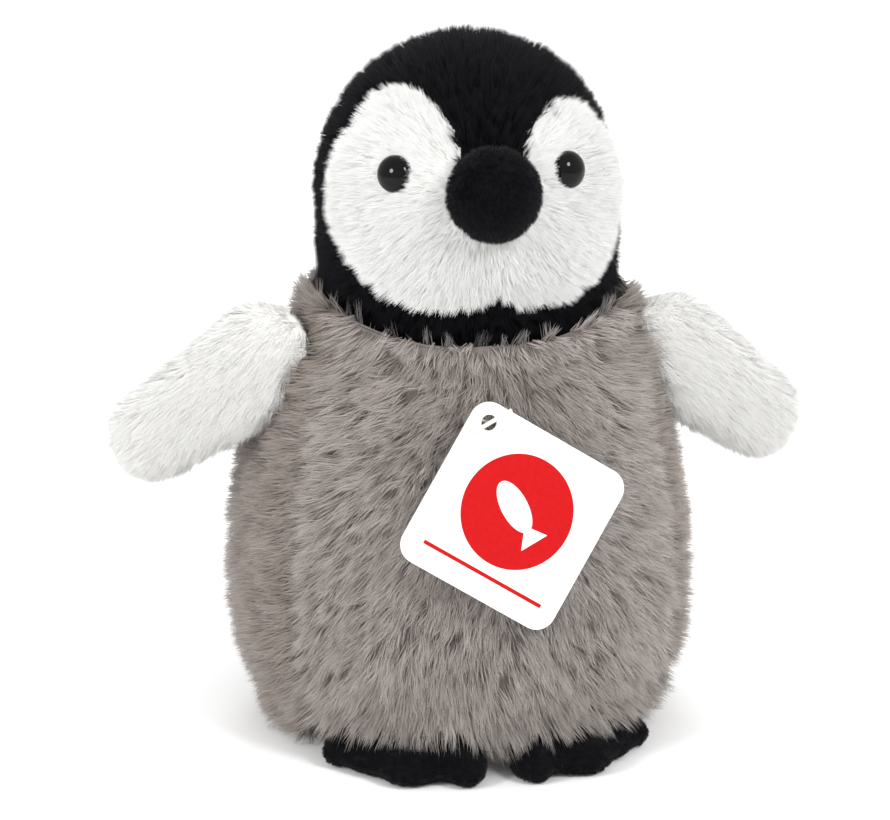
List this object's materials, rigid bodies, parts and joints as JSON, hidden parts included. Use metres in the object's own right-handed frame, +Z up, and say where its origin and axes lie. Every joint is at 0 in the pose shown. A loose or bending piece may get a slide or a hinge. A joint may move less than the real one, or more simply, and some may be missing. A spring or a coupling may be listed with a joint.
{
  "type": "plush penguin",
  "caption": "Standing plush penguin chick with a turning, nodding head, liftable flippers, flexing felt feet and a hang tag on a swinging pin.",
  "frame": {"origin": "on the floor under the middle of the torso", "axes": "+Z up, the beak and belly face -Y, +X is the penguin's own left"},
  "size_m": [0.2058, 0.1424, 0.2],
  "materials": {
    "pile_grey": "long grey plush pile",
    "base_cloth": "short woven cloth",
    "fibrefill": "polyester fibre filling",
    "lining_cloth": "fine lining cloth",
    "label_tape": "smooth satin tape",
    "pile_black": "short black plush pile",
    "pile_face": "white plush pile",
    "velour_black": "short black velour",
    "eye_black": "polished",
    "washer_white": "moulded",
    "pile_wing": "long white plush pile",
    "clear_nylon": "translucent moulded nylon",
    "card_white": "coated card"
  },
  "bodies": {
    "torso": {"belly_panel": "pile_grey", "back_panel_left": "pile_grey", "back_panel_right": "pile_grey", "base_panel": "base_cloth", "body_stuffing": "fibrefill", "pellet_bag": "lining_cloth", "care_label": "label_tape"},
    "neck": {"neck_stuffing": "fibrefill"},
    "head": {"head_stuffing": "fibrefill", "hood_left": "pile_black", "hood_right": "pile_black", "crown_gusset": "pile_black", "face_left": "pile_face", "face_right": "pile_face", "beak_cover": "velour_black", "beak_stuffing": "fibrefill", "eye_left": "eye_black", "eye_right": "eye_black", "eye_washer_left": "washer_white", "eye_washer_right": "washer_white"},
    "wing_left": {"wing_left_front": "pile_wing", "wing_left_back": "pile_wing", "wing_left_stuffing": "fibrefill"},
    "wing_right": {"wing_right_front": "pile_wing", "wing_right_back": "pile_wing", "wing_right_stuffing": "fibrefill"},
    "foot_left": {"foot_left_top": "velour_black", "foot_left_sole": "velour_black", "foot_left_stuffing": "fibrefill"},
    "foot_right": {"foot_right_top": "velour_black", "foot_right_sole": "velour_black", "foot_right_stuffing": "fibrefill"},
    "tag_pin": {"tag_pin": "clear_nylon"},
    "hang_tag": {"hang_tag": "card_white"}
  },
  "joints": [
    {"name": "neck_turn", "type": "hinge", "parent": "torso", "child": "neck", "pos_m": [0.0016, -0.003, 0.118], "axis": [0, 0, 1], "range_deg": [-20, 20], "stiffness_Nm_per_rad": 0.25},
    {"name": "head_nod", "type": "hinge", "parent": "neck", "child": "head", "pos_m": [0.0016, -0.003, 0.118], "axis": [1, 0, 0], "range_deg": [-8, 8], "stiffness_Nm_per_rad": 0.6},
    {"name": "wing_left_lift", "type": "hinge", "parent": "torso", "child": "wing_left", "pos_m": [0.0495, -0.0155, 0.1225], "axis": [0.3907, -0.9205, 0], "range_deg": [0, 45], "stiffness_Nm_per_rad": 0.02},
    {"name": "wing_right_lift", "type": "hinge", "parent": "torso", "child": "wing_right", "pos_m": [-0.0495, -0.0155, 0.1225], "axis": [0.3907, 0.9205, 0], "range_deg": [0, 45], "stiffness_Nm_per_rad": 0.02},
    {"name": "foot_left_flex", "type": "hinge", "parent": "torso", "child": "foot_left", "pos_m": [0.01867, -0.03829, 0.0042], "axis": [-0.8988, -0.4384, 0], "range_deg": [-20, 4], "stiffness_Nm_per_rad": 0.02},
    {"name": "foot_right_flex", "type": "hinge", "parent": "torso", "child": "foot_right", "pos_m": [-0.01867, -0.03829, 0.0042], "axis": [-0.8988, 0.4384, 0], "range_deg": [-20, 4], "stiffness_Nm_per_rad": 0.02},
    {"name": "tag_swing", "type": "hinge", "parent": "torso", "child": "tag_pin", "pos_m": [-0.0036, -0.063, 0.1048], "axis": [0.0687, -0.9824, 0.1736], "range_deg": [-45, 45]},
    {"name": "tag_tilt", "type": "hinge", "parent": "tag_pin", "child": "hang_tag", "pos_m": [-0.00352, -0.06413, 0.105], "axis": [-0.8913, -0.1386, -0.4317], "range_deg": [0, 25]}
  ]
}
